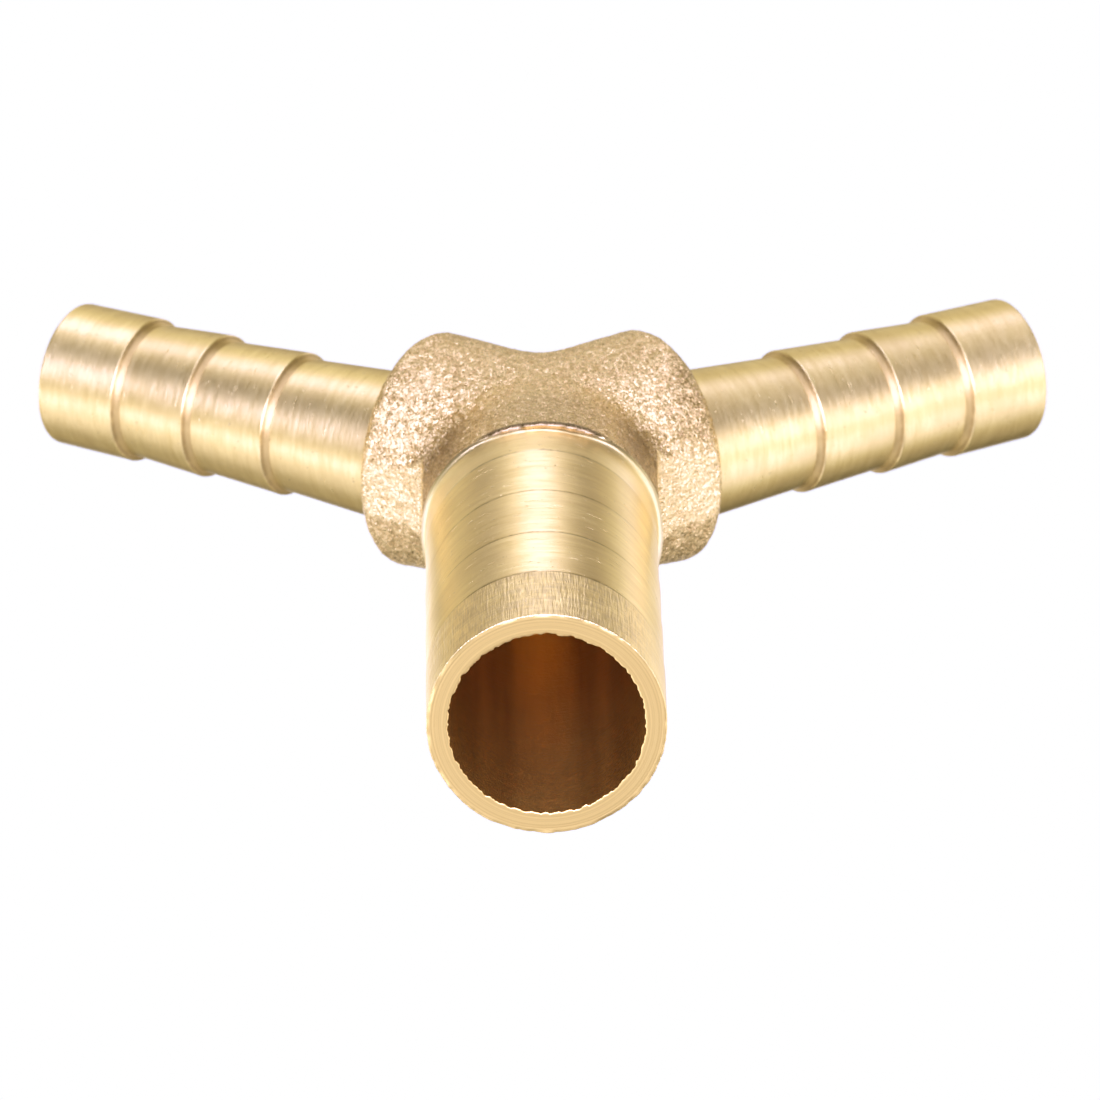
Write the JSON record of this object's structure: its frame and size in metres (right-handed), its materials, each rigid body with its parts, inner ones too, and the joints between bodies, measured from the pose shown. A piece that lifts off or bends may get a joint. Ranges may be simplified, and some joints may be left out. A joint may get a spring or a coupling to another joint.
{
  "type": "barbed hose connector",
  "caption": "Reducing Y hose connector in brass: a large barbed inlet and smaller barbed outlets set 120 degrees apart around a rough forged hub.",
  "frame": {"origin": "the point where the three flow axes cross, which is the inner end of the inlet bore's full-diameter wall", "axes": "+Z normal to the plane of the Y; the inlet runs along -Y; the outlets run at 30 and 150 degrees from +X in the XY plane"},
  "size_m": [0.0468, 0.0411, 0.0108],
  "materials": {
    "forged_brass": "blasted forging skin, fine grain, trimmed parting flash",
    "turned_brass": "turned, fine circumferential tool marks"
  },
  "bodies": {
    "root": {"wye_hub": "forged_brass", "inlet_barb": "turned_brass", "outlet_barb_right": "turned_brass", "outlet_barb_left": "turned_brass"}
  },
  "joints": []
}
